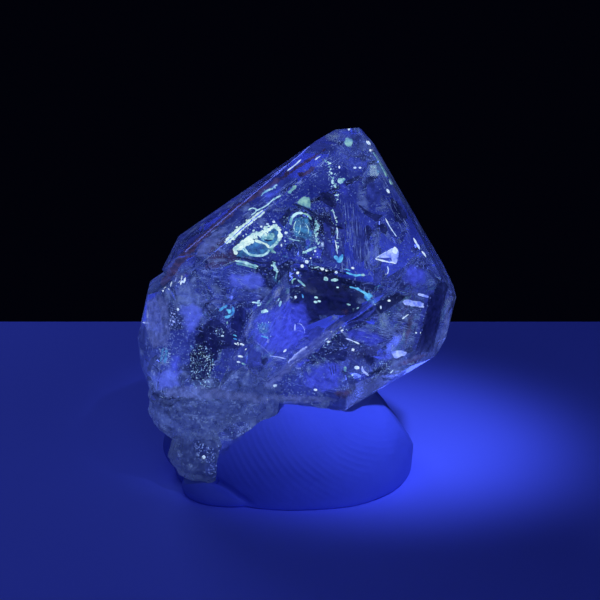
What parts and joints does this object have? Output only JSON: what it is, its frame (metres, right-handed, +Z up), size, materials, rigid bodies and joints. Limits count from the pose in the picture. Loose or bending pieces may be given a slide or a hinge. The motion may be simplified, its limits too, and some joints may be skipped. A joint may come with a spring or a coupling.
{
  "type": "petroleum quartz crystal",
  "caption": "Clear, pointed quartz crystal with petroleum inclusions, grown in parallel with smaller crystals and a rough stem, held upright in a lump of mounting putty.",
  "frame": {"origin": "on the ground, under the middle of the specimen's box", "axes": "+Z up, -Y towards the viewer, the side that the crystal's broad front face looks to; +X to the viewer's right, the side that its point leans to"},
  "size_m": [0.0242, 0.0188, 0.0266],
  "materials": {
    "quartz": "clear stone with flat glossy faces, frosted where it is broken",
    "putty": "matte white putty with fingerprints, tinted blue-violet by the ultraviolet lamp"
  },
  "bodies": {
    "root": {"quartz_crystal": "quartz", "mounting_putty": "putty"}
  },
  "joints": []
}
